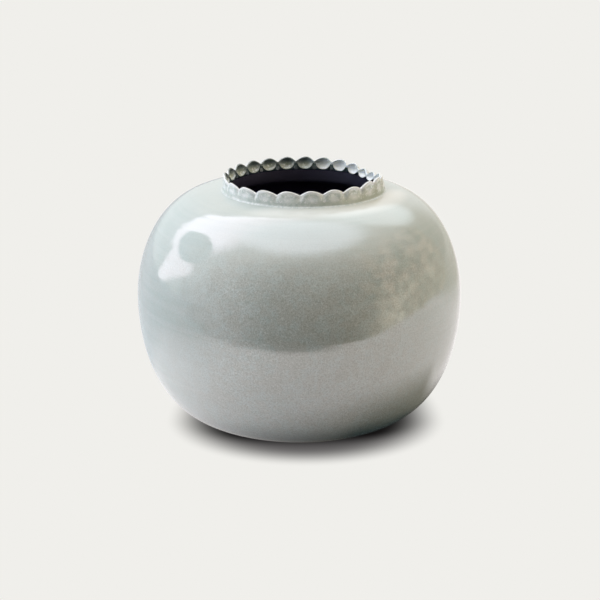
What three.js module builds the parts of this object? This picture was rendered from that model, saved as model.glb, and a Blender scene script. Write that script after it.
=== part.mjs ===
import * as THREE from 'three';

// Globe vase of glazed stoneware: two thrown halves joined at the belly, a trimmed foot,
// a low neck and a coil rim that is pinched into scallops between finger and thumb.
// Millimetres. +Z is up, the foot stands on Z = 0, and -Y is the front.

// Outside of the finished body
const bellyRadius = 105;
const bellyHeight = 76.5;
const shoulderHeight = 146.4;
const shoulderRise = 33.3;
const shoulderReach = 34.6;
const undersideFall = 41.6;
const undersideReach = 24.3;

// Clay and glaze
const wall = 6;
const glazeThickness = 0.8;
const linerThickness = 0.8;

// Foot
const footHeight = 2.4;
const footRadius = 60;
const footWidth = 11;
const footBevel = 1;
const bareMargin = 4;

// Neck
const neckRadius = 51.4;
const neckWall = 2.4;
const neckBand = 1.6;
const neckFillet = 1.4;
const collarSeatDepth = 2;
const throatRound = 2;
const mouthShift = 2.8;
const mouthShiftReach = 20;

// Pinched rim
const pinchCount = 24;
const rimHeight = 8.7;
const rimEdge = 1.6;
const rimLean = 1.6;
const scallopDepth = 2.6;
const cuspDrawIn = 1.2;
const cuspGroove = 0.7;
const pinchBelly = 0.5;
const fingerDent = 0.5;
const fingerWidth = 7.2;
const dishWidth = 10.7;
const dishReach = 1.9;
const dishHollow = 1;
const lipHeight = 1;
const webDepth = 1.2;

// Spacing of the scallops, as the hand spaced them
const firstCusp = THREE.MathUtils.degToRad(-2.6);
const pitchStretch = THREE.MathUtils.degToRad(2.9);
const secondStretch = THREE.MathUtils.degToRad(0.95);
const pitchDrift = THREE.MathUtils.degToRad(3.05);

// Character of the scallops' shape, without a unit. Heights run from 0 at the neck to 1 at the
// edge, and places across a scallop from 0 in its middle to 1 at a cusp.
const crestLean = 0.05;
const crestPower = 0.85;
const cuspBluntness = 0.12;
const cuspSpread = 0.26;
const leanPower = 1.6;
const edgeRound = 0.35;
const grooveFoot = 0.3;
const grooveTop = 0.9;
const dentHeight = 0.64;
const dentSpread = 0.28;
const dishSquareness = 2.5;
const lipFollow = 0.25;

// Uneven stretches of the rim, where the hand pressed harder or pulled up
const rimSwells = [
  { bearing: 115, spread: 23, rise: -2.85, inward: 3 },
  { bearing: 60, spread: 15, rise: 1.9, inward: -0.6 },
  { bearing: -48, spread: 50, rise: -1.05, inward: -1.3 },
];

// Fineness of the facets
const turnSteps = 48;
const curveSteps = 6;
const filletSteps = 2;
const stepsPerPinch = 8;

const bareClay = { color: 0xb9a88f, roughness: 0.85, metalness: 0 };
const celadon = { color: 0xcfd9d6, roughness: 0.16, metalness: 0 };
const linerGlaze = { color: 0x14121c, roughness: 0.3, metalness: 0 };

// Heights and radii that follow from the sizes above
const glazeLine = footRadius + bareMargin;
const neckTop = shoulderHeight + neckBand;
const clayShoulder = shoulderHeight - glazeThickness;
const collarSeat = clayShoulder - collarSeatDepth;
const outerFillet = Math.min(neckFillet, neckBand - 0.1);
const neckRoot = neckRadius + outerFillet;
const collarOuter = neckRadius - glazeThickness;
const collarInner = collarOuter - neckWall;
const linerBore = collarInner - linerThickness;
const vaultHeight = clayShoulder - wall;
const floorHeight = footHeight + wall;
const pinchPitch = (2 * Math.PI * (neckRadius - rimLean)) / pinchCount;

const point = (r, z) => new THREE.Vector2(r, z);

// The body's outline is two curves that stand upright at the belly and run level at the
// foot and at the neck. Each is given at a depth under the finished outside.
const undersideCurve = new THREE.CubicBezierCurve(
  point(glazeLine, footHeight - glazeThickness),
  point(glazeLine + undersideReach, footHeight - glazeThickness),
  point(bellyRadius, bellyHeight - undersideFall),
  point(bellyRadius, bellyHeight),
);
const shoulderCurve = new THREE.CubicBezierCurve(
  point(bellyRadius, bellyHeight),
  point(bellyRadius, bellyHeight + shoulderRise),
  point(neckRoot + shoulderReach, shoulderHeight),
  point(neckRoot, shoulderHeight),
);

// Unit direction of such a curve, from its four control points
function direction({ v0, v1, v2, v3 }, along) {
  const back = 1 - along;
  return new THREE.Vector2()
    .addScaledVector(v1.clone().sub(v0), back * back)
    .addScaledVector(v2.clone().sub(v1), 2 * back * along)
    .addScaledVector(v3.clone().sub(v2), along * along)
    .normalize();
}

function atDepth(curve, depth) {
  return Array.from({ length: curveSteps + 1 }, (_, i) => {
    const along = i / curveSteps;
    const { x, y } = direction(curve, along);
    return curve.getPoint(along).add(point(-y, x).multiplyScalar(depth));
  });
}

// A quarter round about a centre, from straight below it to straight inwards of it.
function quarterRound(centreR, centreZ, radius) {
  return Array.from({ length: filletSteps + 1 }, (_, i) => {
    const turn = (i / filletSteps) * (Math.PI / 2);
    return point(centreR - radius * Math.sin(turn), centreZ - radius * Math.cos(turn));
  });
}

// The neck stands a little off the body's axis, so the top of the shoulder drifts with it.
function mouthDrift(r, z) {
  if (z <= bellyHeight) return 0;
  return mouthShift * (1 - THREE.MathUtils.smoothstep(r, neckRoot, neckRoot + mouthShiftReach));
}

// Turns a closed outline, given anticlockwise with the axis on its left, into a solid.
// Each four-sided facet is split from its lower row, so that pieces that touch share facets.
function revolve(outline) {
  const vertices = [];
  const triangles = [];
  const rows = outline.map(({ x: r, y: z }) => {
    const onAxis = r < 1e-6;
    const row = Array.from({ length: onAxis ? 1 : turnSteps }, (_, i) => {
      const turn = (i / turnSteps) * 2 * Math.PI;
      vertices.push(mouthDrift(r, z) + r * Math.sin(turn), -r * Math.cos(turn), z);
      return vertices.length / 3 - 1;
    });
    return { row, r, z, onAxis };
  });
  rows.forEach((low, k) => {
    const high = rows[(k + 1) % rows.length];
    if (low.onAxis && high.onAxis) return;
    const splitFromFirst = low.z < high.z || (low.z === high.z && low.r < high.r);
    for (let i = 0; i < turnSteps; i += 1) {
      const next = (i + 1) % turnSteps;
      const a = low.row[low.onAxis ? 0 : i];
      const b = low.row[low.onAxis ? 0 : next];
      const c = high.row[high.onAxis ? 0 : next];
      const d = high.row[high.onAxis ? 0 : i];
      if (low.onAxis) triangles.push(a, c, d);
      else if (high.onAxis) triangles.push(a, b, d);
      else if (splitFromFirst) triangles.push(a, b, c, a, c, d);
      else triangles.push(a, b, d, b, c, d);
    }
  });
  return solidOf(vertices, triangles);
}

function solidOf(vertices, triangles) {
  const geometry = new THREE.BufferGeometry();
  geometry.setAttribute('position', new THREE.Float32BufferAttribute(vertices, 3));
  geometry.setIndex(triangles);
  geometry.computeVertexNormals();
  return geometry;
}

// Foot: a low ring under the bowl, bevelled where it meets the table
function footRing() {
  const inner = footRadius - footWidth;
  return revolve([
    point(inner + footBevel, 0),
    point(footRadius - footBevel, 0),
    point(footRadius, footBevel),
    point(footRadius, footHeight),
    point(inner, footHeight),
    point(inner, footBevel),
  ]);
}

// Lower bowl: floor and wall up to the joint at the belly
function lowerBowl() {
  return revolve([
    point(0, footHeight),
    ...atDepth(undersideCurve, glazeThickness),
    ...atDepth(undersideCurve, glazeThickness + wall).reverse(),
    point(0, floorHeight),
  ]);
}

// Shoulder dome: from the belly joint to the opening, with a sunk seat for the collar
function shoulderDome() {
  return revolve([
    ...atDepth(shoulderCurve, glazeThickness),
    point(neckRoot, collarSeat),
    point(collarInner, collarSeat),
    ...quarterRound(collarInner + throatRound, vaultHeight + throatRound, throatRound).reverse(),
    ...atDepth(shoulderCurve, glazeThickness + wall).reverse(),
  ]);
}

// Neck collar: a ring bedded in the dome's seat, filleted where it leaves the shoulder
function neckCollar() {
  return revolve([
    point(collarInner, collarSeat),
    point(neckRoot, collarSeat),
    ...quarterRound(neckRoot, shoulderHeight + outerFillet, outerFillet + glazeThickness),
    point(collarOuter, neckTop),
    point(collarInner, neckTop),
  ]);
}

// Outer glaze: the celadon coat from above the bare foot to the top of the neck
function outerGlaze() {
  const filletHeight = shoulderHeight + outerFillet;
  const outside = [
    ...atDepth(undersideCurve, 0),
    ...atDepth(shoulderCurve, 0).slice(1, -1),
    ...quarterRound(neckRoot, filletHeight, outerFillet),
    point(neckRadius, neckTop),
  ];
  const inside = [
    ...atDepth(undersideCurve, glazeThickness),
    ...atDepth(shoulderCurve, glazeThickness).slice(1, -1),
    ...quarterRound(neckRoot, filletHeight, outerFillet + glazeThickness),
    point(collarOuter, neckTop),
  ];
  return revolve([...outside, ...inside.reverse()]);
}

// Liner glaze: the dark coat on the floor, the walls, the throat and the inside of the neck
function linerCoat() {
  const throatR = collarInner + throatRound;
  const throatZ = vaultHeight + throatRound;
  const depth = glazeThickness + wall;
  const againstClay = [
    point(0, floorHeight),
    ...atDepth(undersideCurve, depth),
    ...atDepth(shoulderCurve, depth).slice(1),
    ...quarterRound(throatR, throatZ, throatRound),
    point(collarInner, collarSeat),
    point(collarInner, neckTop),
  ];
  const insideFace = [
    point(0, floorHeight + linerThickness),
    ...atDepth(undersideCurve, depth + linerThickness),
    ...atDepth(shoulderCurve, depth + linerThickness).slice(1),
    ...quarterRound(throatR, throatZ, throatRound + linerThickness),
    point(linerBore, neckTop),
  ];
  return revolve([...againstClay, ...insideFace.reverse()]);
}

// How far a place on the rim is drawn up, and pressed in, by its uneven stretches
function swellAt(bearing) {
  return rimSwells.reduce((sum, swell) => {
    const away = THREE.MathUtils.euclideanModulo(bearing - swell.bearing + 180, 360) - 180;
    const share = Math.exp(-((away / swell.spread) ** 2));
    return { rise: sum.rise + swell.rise * share, inward: sum.inward + swell.inward * share };
  }, { rise: 0, inward: 0 });
}

// One step across a scallop. aside runs from -1 at one cusp to 1 at the next, crest is 0 at a
// cusp and 1 at the top, and bowl is 0 beside the thumb's dish and 1 in its middle.
function pinchAt(across) {
  const aside = 2 * across - 1;
  const leaning = across + crestLean * Math.sin(Math.PI * across) ** 2;
  const blunt = Math.hypot(Math.sin(Math.PI * leaning), cuspBluntness) - cuspBluntness;
  const crest = (blunt / (Math.hypot(1, cuspBluntness) - cuspBluntness)) ** crestPower;
  const fromMiddle = Math.abs(aside) * (pinchPitch / dishWidth);
  const bowl = Math.sqrt(Math.max(0, 1 - fromMiddle ** dishSquareness));
  return { aside, crest, bowl };
}

// The rim's section at one step. It stands on the neck and leans in to a thin edge. Outside it
// is grooved at the cusps and dented by the finger, and inside it is hollowed by the thumb.
function rimSection({ aside, crest, bowl }, swell) {
  const edgeTop = neckTop + rimHeight - scallopDepth * (1 - crest) + swell.rise;
  const edgeRadius = neckRadius - rimLean - cuspDrawIn * (1 - crest) - swell.inward;
  const edgeShoulder = edgeTop - rimEdge * edgeRound;
  const outerEdge = edgeRadius + rimEdge / 2;
  const innerEdge = edgeRadius - rimEdge / 2;
  const cusp = Math.exp(-(((1 - Math.abs(aside)) / cuspSpread) ** 2));
  const outside = (share) => {
    const lean = (outerEdge - neckRadius) * share ** leanPower;
    const belly = pinchBelly * (1 - aside ** 2) * Math.sin(Math.PI * share);
    const groove = cuspGroove * cusp * THREE.MathUtils.smoothstep(share, grooveFoot, grooveTop);
    const sideways = (aside * pinchPitch) / fingerWidth;
    const dent = fingerDent * Math.exp(-(sideways ** 2) - ((share - dentHeight) / dentSpread) ** 2);
    return point(neckRadius + lean + belly - groove - dent, neckTop + (edgeShoulder - neckTop) * share);
  };
  const besideLip = edgeShoulder - webDepth;
  const middleLip = neckTop + lipHeight + swell.rise * lipFollow;
  const lipRadius = innerEdge - dishReach * bowl;
  const lipTop = besideLip + (middleLip - besideLip) * bowl;
  const dish = (share) => {
    const turn = (share * Math.PI) / 2;
    return point(
      lipRadius + (innerEdge - lipRadius) * Math.sin(turn) + dishHollow * bowl * Math.sin(Math.PI * share),
      lipTop + (edgeShoulder - lipTop) * (1 - Math.cos(turn)),
    );
  };
  return [
    point(neckRadius, neckTop),
    outside(0.35),
    outside(dentHeight),
    outside(1),
    point(edgeRadius, edgeTop),
    point(innerEdge, edgeShoulder),
    dish(0.67),
    dish(0.33),
    dish(0),
    point(linerBore, neckTop),
  ];
}

// Pinched rim: the section swept round the mouth, one scallop for each pinch
function pinchedRim() {
  const steps = pinchCount * stepsPerPinch;
  const vertices = [];
  const triangles = [];
  for (let i = 0; i < steps; i += 1) {
    const even = firstCusp + (i / steps) * 2 * Math.PI;
    const stretch = pitchStretch * Math.sin(even) + secondStretch * Math.sin(2 * even);
    const turn = even + stretch - pitchDrift * (1 - Math.cos(even));
    const swell = swellAt(THREE.MathUtils.radToDeg(turn));
    const section = rimSection(pinchAt((i % stepsPerPinch) / stepsPerPinch), swell);
    section.forEach(({ x: r, y: z }) => {
      vertices.push(mouthShift + r * Math.sin(turn), -r * Math.cos(turn), z);
    });
    const size = section.length;
    const here = i * size;
    const there = ((i + 1) % steps) * size;
    section.forEach((_, k) => {
      const up = (k + 1) % size;
      triangles.push(here + k, there + k, there + up, here + k, there + up, here + up);
    });
  }
  return solidOf(vertices, triangles);
}

const pieces = [
  ['foot_ring', footRing(), bareClay],
  ['lower_bowl', lowerBowl(), bareClay],
  ['shoulder_dome', shoulderDome(), bareClay],
  ['neck_collar', neckCollar(), bareClay],
  ['pinched_rim', pinchedRim(), celadon],
  ['outer_glaze', outerGlaze(), celadon],
  ['liner_glaze', linerCoat(), linerGlaze],
];

const vase = new THREE.Group();
for (const [name, geometry, finish] of pieces) {
  const mesh = new THREE.Mesh(geometry, new THREE.MeshStandardMaterial(finish));
  mesh.name = name;
  vase.add(mesh);
}

export default vase;
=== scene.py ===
"""Globe vase of glazed stoneware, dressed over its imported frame.

The clay, the foot, the two glaze coats and the pinched rim are fine closed meshes made from
the potter's own measures. Lengths are metres, +Z is up and -Y is the front.
"""

import logging
import math
from collections.abc import Callable, Iterator, Sequence
from dataclasses import dataclass
from enum import Enum

import bmesh
import bpy
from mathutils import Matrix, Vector, noise


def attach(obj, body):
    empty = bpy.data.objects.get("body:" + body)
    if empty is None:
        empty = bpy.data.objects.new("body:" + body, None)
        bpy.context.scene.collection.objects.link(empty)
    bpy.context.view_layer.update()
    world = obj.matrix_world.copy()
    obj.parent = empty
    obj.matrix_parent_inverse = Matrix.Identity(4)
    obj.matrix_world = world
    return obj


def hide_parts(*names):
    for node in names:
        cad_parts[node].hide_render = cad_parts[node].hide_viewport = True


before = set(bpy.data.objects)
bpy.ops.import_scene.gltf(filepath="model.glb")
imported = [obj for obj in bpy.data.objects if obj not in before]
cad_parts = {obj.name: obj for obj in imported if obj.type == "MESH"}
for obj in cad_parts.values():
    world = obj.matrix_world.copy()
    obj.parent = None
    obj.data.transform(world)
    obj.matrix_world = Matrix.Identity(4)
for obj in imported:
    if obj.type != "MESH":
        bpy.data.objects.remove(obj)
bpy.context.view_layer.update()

log = logging.getLogger("globe_vase")

MM = 0.001
ROOT = "root"
ON_AXIS = 1e-6

# The sockets of the mix node that belong to colours.
MIX_SHARE, MIX_FIRST, MIX_SECOND, MIX_RESULT = 0, 6, 7, 2

# A ramp is (low, high) for an ease from 0 to 1, or (low, high, start, end).
Ramp = tuple[float, ...]
Point = tuple[float, float]
Point3 = tuple[float, float, float]
Profile = list[Point]
Place = Callable[[float, float, float], Vector]
Colour = tuple[float, float, float, float]
Piece = bpy.types.Object
Material = bpy.types.Material
Inputs = dict[str | int, object]


class Slot(Enum):
    """The record's material slots."""

    CLAY = "bare_clay"
    CELADON = "celadon_glaze"
    LINER = "liner_glaze"


class Wash(Enum):
    """Point values on the rim that steer its glaze."""

    # White over the rim's edges: partly the glaze breaking thin, partly painted highlight.
    EDGE = "thin_edge"
    # Olive: partly glaze pooled in hollows, partly painted shade, heavier on the shaded side.
    POOL = "glaze_pool"
    # Painted shade: dark teal on the dishes' tops, on the webs and under the lip.
    PAINTED_SHADE = "painted_shade"
    SHADE = "liner_reach"


def smooth(value: float, low: float, high: float) -> float:
    """Eases from 0 at a low value to 1 at a high one."""
    share = min(1.0, max(0.0, (value - low) / (high - low)))
    return share * share * (3 - 2 * share)


def hump(value: float, centre: float, width: float) -> float:
    """Gives a soft hump of height 1 about a centre."""
    return math.exp(-(((value - centre) / width) ** 2))


def weigh(weights: Sequence[float], points: Sequence[Point]) -> Point:
    """Adds up points by their weights."""
    pairs = list(zip(weights, points))
    return sum(w * p[0] for w, p in pairs), sum(w * p[1] for w, p in pairs)


def linear(red: int, green: int, blue: int) -> Colour:
    """Turns a colour as seen on a screen, 0 to 255, into the light it stands for."""
    parts = [c / 255 for c in (red, green, blue)]
    return *(c / 12.92 if c <= 0.04045 else ((c + 0.055) / 1.055) ** 2.4 for c in parts), 1.0


PAPER = linear(240, 239, 235)


@dataclass(frozen=True)
class Curve:
    """A cubic curve in the plane of radius and height, with four control points."""

    points: tuple[Point, ...]

    def at(self, along: float) -> Point:
        """Finds the point at a share of the way along.

        Args:
            along: How far along it, from 0 to 1.

        Returns:
            The point as (radius, height).
        """
        back = 1 - along
        pulls = (3 * back * back * along, 3 * back * along * along)
        return weigh((back**3, *pulls, along**3), self.points)

    def direction(self, along: float) -> Point:
        """Finds the way that the curve runs.

        Args:
            along: How far along it, from 0 to 1.

        Returns:
            A unit vector as (radius, height).
        """
        back = 1 - along
        steps = [(b[0] - a[0], b[1] - a[1]) for a, b in zip(self.points, self.points[1:])]
        r, z = weigh((back * back, 2 * back * along, along * along), steps)
        size = math.hypot(r, z)
        return r / size, z / size

    def under(self, depth: float, steps: int) -> Profile:
        """Lists points at a depth under the curve.

        Args:
            depth: The depth towards the axis.
            steps: The number of steps along the curve.

        Returns:
            The points as (radius, height), from the curve's start to its end.
        """
        found = []
        for i in range(steps + 1):
            r, z = self.at(i / steps)
            along_r, along_z = self.direction(i / steps)
            found.append((r - along_z * depth, z + along_r * depth))
        return found


@dataclass(frozen=True)
class Measures:
    """The potter's measures of the whole vase, in metres."""

    belly_radius: float = 105 * MM
    belly_height: float = 76.5 * MM
    shoulder_height: float = 146.4 * MM
    shoulder_rise: float = 33.3 * MM
    shoulder_reach: float = 34.6 * MM
    underside_fall: float = 41.6 * MM
    underside_reach: float = 24.3 * MM
    wall: float = 6 * MM
    glaze: float = 0.8 * MM
    liner: float = 0.8 * MM
    foot_height: float = 2.4 * MM
    foot_radius: float = 60 * MM
    foot_width: float = 11 * MM
    bare_margin: float = 4 * MM
    neck_radius: float = 51.4 * MM
    neck_wall: float = 2.4 * MM
    neck_band: float = 1.6 * MM
    neck_fillet: float = 1.4 * MM
    collar_seat_depth: float = 2 * MM
    throat_round: float = 2 * MM
    mouth_shift: float = 2.8 * MM
    mouth_shift_reach: float = 20 * MM

    @property
    def glaze_line(self) -> float:
        """Radius where the outer glaze stops above the foot."""
        return self.foot_radius + self.bare_margin

    @property
    def neck_root(self) -> float:
        """Radius where the neck leaves the shoulder."""
        return self.neck_radius + self.neck_fillet

    @property
    def neck_top(self) -> float:
        """Height where the rim starts on the neck."""
        return self.shoulder_height + self.neck_band

    @property
    def seat(self) -> float:
        """Height of the collar's sunk seat."""
        return self.shoulder_height - self.glaze - self.collar_seat_depth

    @property
    def collar_inner(self) -> float:
        """Radius of the clay inside the neck."""
        return self.neck_radius - self.glaze - self.neck_wall

    @property
    def liner_bore(self) -> float:
        """Radius of the glazed inside of the neck."""
        return self.collar_inner - self.liner

    @property
    def throat(self) -> Point:
        """Centre of the round from the vault into the neck."""
        vault = self.shoulder_height - self.glaze - self.wall
        return self.collar_inner + self.throat_round, vault + self.throat_round

    @property
    def underside(self) -> Curve:
        """The outline from the glaze line up to the belly.

        Returns:
            The curve.
        """
        low = self.foot_height - self.glaze
        start = (self.glaze_line, low)
        start_pull = (self.glaze_line + self.underside_reach, low)
        end_pull = (self.belly_radius, self.belly_height - self.underside_fall)
        return Curve((start, start_pull, end_pull, (self.belly_radius, self.belly_height)))

    @property
    def shoulder(self) -> Curve:
        """The outline from the belly up to the neck.

        Returns:
            The curve.
        """
        start_pull = (self.belly_radius, self.belly_height + self.shoulder_rise)
        end_pull = (self.neck_root + self.shoulder_reach, self.shoulder_height)
        end = (self.neck_root, self.shoulder_height)
        return Curve(((self.belly_radius, self.belly_height), start_pull, end_pull, end))

    def skin(self, depth: float, steps: int) -> Profile:
        """Lists the outline from the glaze line to the neck, at a depth under it."""
        return [*self.underside.under(depth, steps), *self.shoulder.under(depth, steps)[1:]]

    def drift(self, r: float, z: float) -> float:
        """Says how far the neck's lean carries a point along +X."""
        near = 1 - smooth(r, self.neck_root, self.neck_root + self.mouth_shift_reach)
        return self.mouth_shift * near if z > self.belly_height else 0.0

    def place(self, turn: float, r: float, z: float) -> Vector:
        """Puts a turned point in space, where turn is its bearing from the front towards +X."""
        return Vector((self.drift(r, z) + r * math.sin(turn), -r * math.cos(turn), z))


def quarter(centre: Point, radius: float, steps: int) -> Profile:
    """Lists a quarter round, from straight below its centre to straight inwards of it."""
    turns = [i / steps * math.pi / 2 for i in range(steps + 1)]
    return [(centre[0] - radius * math.sin(t), centre[1] - radius * math.cos(t)) for t in turns]


def in_scene(name: str, data: bpy.types.ID) -> Piece:
    """Adds an object with a mesh or a camera to the scene.

    Args:
        name: The object's name.
        data: Its mesh or camera.

    Returns:
        The object.
    """
    added = bpy.data.objects.new(name, data)
    bpy.context.scene.collection.objects.link(added)
    return added


def finish_piece(shell: bmesh.types.BMesh, name: str, material: Material, sharp: float) -> Piece:
    """Makes a piece of a shell, smooth except over its sharp edges.

    Args:
        shell: The shell, which is used up.
        name: The piece's name.
        material: The finish.
        sharp: The fold, in degrees, from which an edge stays sharp.

    Returns:
        The new piece.
    """
    mesh = bpy.data.meshes.new(name)
    shell.to_mesh(mesh)
    shell.free()
    mesh.shade_smooth()
    mesh.set_sharp_from_angle(angle=math.radians(sharp))
    mesh.materials.append(material)
    return in_scene(name, mesh)


def turned(
    name: str,
    profile: Profile,
    segments: int,
    place: Place,
    material: Material,
    sharp: float = 40,
) -> Piece:
    """Turns a closed profile round the axis into a closed piece.

    Args:
        name: The piece's name.
        profile: The section, anticlockwise with the axis on its left.
        segments: The number of facets round the axis.
        place: Puts (turn, radius, height) in space.
        material: The finish.
        sharp: The fold, in degrees, from which an edge stays sharp.

    Returns:
        The new piece.
    """
    shell = bmesh.new()
    rows = []
    for r, z in profile:
        turns = [2 * math.pi * i / segments for i in range(1 if r < ON_AXIS else segments)]
        rows.append([shell.verts.new(place(turn, r, z)) for turn in turns])
    for low, high in zip(rows, rows[1:] + rows[:1]):
        if len(low) == 1 and len(high) == 1:
            continue
        for i in range(segments):
            j = (i + 1) % segments
            face = [low[i % len(low)], low[j % len(low)], high[j % len(high)], high[i % len(high)]]
            shell.faces.new(list(dict.fromkeys(face)))
    return finish_piece(shell, name, material, sharp)


def rest_on_frame(piece: Piece, slot: Slot, *nodes: str) -> Piece:
    """Lets a piece ride on the vase and stand for its nodes.

    Args:
        piece: The piece.
        slot: The material slot for its finish; not used.
        nodes: The frame's nodes that it stands for.

    Returns:
        The piece.
    """
    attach(piece, ROOT)
    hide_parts(*nodes)
    log.info("%s: %d faces, stands for %s", piece.name, len(piece.data.polygons), ", ".join(nodes))
    return piece


class Signal:
    """A value, colour or shader on its way through the nodes.

    Signals add, subtract, multiply and divide with numbers and with each other.
    """

    def __init__(self, nodes: "Nodes", socket: bpy.types.NodeSocket) -> None:
        """Holds a node's output."""
        self.nodes = nodes
        self.socket = socket

    def math(self, operation: str, *others: object) -> "Signal":
        """Feeds the signal, and then others, to a sum."""
        values = dict(enumerate((self, *others)))
        return self.nodes.put("ShaderNodeMath", "Value", values, operation=operation)

    def __add__(self, other: object) -> "Signal":
        """Adds the other."""
        return self.math("ADD", other)

    def __sub__(self, other: object) -> "Signal":
        """Takes the other off."""
        return self.math("SUBTRACT", other)

    def __mul__(self, other: object) -> "Signal":
        """Multiplies by the other."""
        return self.math("MULTIPLY", other)

    def __truediv__(self, other: object) -> "Signal":
        """Divides by the other."""
        return self.math("DIVIDE", other)

    def most(self, other: object) -> "Signal":
        """Takes the larger of the two."""
        return self.math("MAXIMUM", other)

    def ease(self, low: float, high: float, start: float = 0.0, end: float = 1.0) -> "Signal":
        """Eases from start, at and below a low value, to end, at and above a high one."""
        inputs = {"Value": self, "From Min": low, "From Max": high, "To Min": start, "To Max": end}
        return self.nodes.put("ShaderNodeMapRange", "Result", inputs, interpolation_type="SMOOTHSTEP")


@dataclass(frozen=True)
class Pattern:
    """Noise that is eased into a share.

    Attributes:
        scale: Lumps per metre.
        detail: How many finer layers it has.
        roughness: How strong they are.
        ramp: The ease.
    """

    scale: float
    detail: float
    roughness: float
    ramp: Ramp


class Nodes:
    """A node tree under construction."""

    def __init__(self, owner: Material | bpy.types.World) -> None:
        """Starts on the owner's tree, emptied.

        Args:
            owner: The material or the world that the nodes belong to.
        """
        owner.use_nodes = True
        self.tree = owner.node_tree
        self.tree.nodes.clear()

    def put(
        self, kind: str, output: str | int, inputs: Inputs | None = None, **settings: object
    ) -> Signal:
        """Adds a node.

        Args:
            kind: Its type.
            output: The output that is wanted.
            inputs: What its sockets take: signals, numbers or colours.
            settings: Properties to set on it.

        Returns:
            That output.
        """
        node = self.tree.nodes.new(kind)
        for key, value in settings.items():
            setattr(node, key, value)
        for key, value in (inputs or {}).items():
            if isinstance(value, Signal):
                self.tree.links.new(value.socket, node.inputs[key])
            else:
                node.inputs[key].default_value = value
        return Signal(self, node.outputs[output])

    def end(self, shader: Signal, kind: str = "ShaderNodeOutputMaterial") -> None:
        """Ends the tree in a shader."""
        self.tree.links.new(shader.socket, self.tree.nodes.new(kind).inputs["Surface"])

    def place(self) -> Signal:
        """Gives the object's own coordinates, in metres."""
        return self.put("ShaderNodeTexCoord", "Object")

    def split(self, where: Signal) -> tuple[Signal, Signal, Signal]:
        """Gives the three parts of a coordinate."""
        x = self.put("ShaderNodeSeparateXYZ", "X", {"Vector": where})
        return x, *(Signal(self, x.socket.node.outputs[axis]) for axis in "YZ")

    def stretch(self, where: Signal, scale: Sequence[float]) -> Signal:
        """Scales a coordinate, so that a texture is stretched."""
        return self.put("ShaderNodeMapping", "Vector", {"Vector": where, "Scale": scale})

    def vectors(self, operation: str, output: str, *values: object) -> Signal:
        """Feeds coordinates to a sum of vectors."""
        return self.put("ShaderNodeVectorMath", output, dict(enumerate(values)), operation=operation)

    def length(self, x: Signal, y: Signal) -> Signal:
        """Gives the length of a flat vector."""
        flat = self.put("ShaderNodeCombineXYZ", "Vector", {"X": x, "Y": y})
        return self.vectors("LENGTH", "Value", flat)

    def grain(self, where: Signal, scale: float, detail: float = 2, roughness: float = 0.5) -> Signal:
        """Gives noise about 0.5, in lumps per metre, with some finer layers of some strength."""
        inputs = {"Vector": where, "Scale": scale, "Detail": detail, "Roughness": roughness}
        return self.put("ShaderNodeTexNoise", "Fac", inputs)

    def pattern(self, where: Signal, look: Pattern) -> Signal:
        """Gives a pattern's share."""
        return self.grain(where, look.scale, look.detail, look.roughness).ease(*look.ramp)

    def mix(self, share: Signal | float, first: Signal | Colour, second: Signal | Colour) -> Signal:
        """Mixes two colours by the second one's share."""
        inputs = {MIX_SHARE: share, MIX_FIRST: first, MIX_SECOND: second}
        return self.put("ShaderNodeMix", MIX_RESULT, inputs, data_type="RGBA")

    def bump(self, height: Signal, depth: float, below: Signal | None = None) -> Signal:
        """Gives the normal of relief with a depth in metres, laid over other relief."""
        inputs = {"Height": height, "Distance": depth} | ({"Normal": below} if below else {})
        return self.put("ShaderNodeBump", "Normal", inputs)

    def point_value(self, name: str) -> Signal:
        """Reads a point value of the mesh."""
        return self.put("ShaderNodeAttribute", "Fac", attribute_name=name)

    def ray(self, kind: str) -> Signal:
        """Gives 1 for one kind of ray."""
        return self.put("ShaderNodeLightPath", f"Is {kind} Ray")

    def glow(self, colour: Signal, strength: Signal | float = 1.0) -> Signal:
        """Gives a surface that shines."""
        return self.put("ShaderNodeEmission", "Emission", {"Color": colour, "Strength": strength})

    def clear(self) -> Signal:
        """Gives a surface that isn't seen."""
        return self.put("ShaderNodeBsdfTransparent", "BSDF")

    def blend(self, share: Signal, first: Signal, second: Signal) -> None:
        """Ends the tree in two shaders, mixed by the second one's share."""
        self.end(self.put("ShaderNodeMixShader", "Shader", {0: share, 1: first, 2: second}))


def new_material(name: str) -> tuple[Material, Nodes]:
    """Starts a material, and gives it with its nodes."""
    material = bpy.data.materials.new(name)
    return material, Nodes(material)


class Finish:
    """A finish of the vase, made of nodes that end in one shader."""

    name: str

    def look(self, nodes: Nodes) -> Inputs:
        """Wires colour, gloss and relief.

        Args:
            nodes: The material's nodes.

        Returns:
            What the shader takes.
        """
        raise NotImplementedError

    def material(self) -> Material:
        """Makes the material.

        Returns:
            The material.
        """
        material, nodes = new_material(self.name)
        nodes.end(nodes.put("ShaderNodeBsdfPrincipled", "BSDF", self.look(nodes)))
        return material


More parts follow.
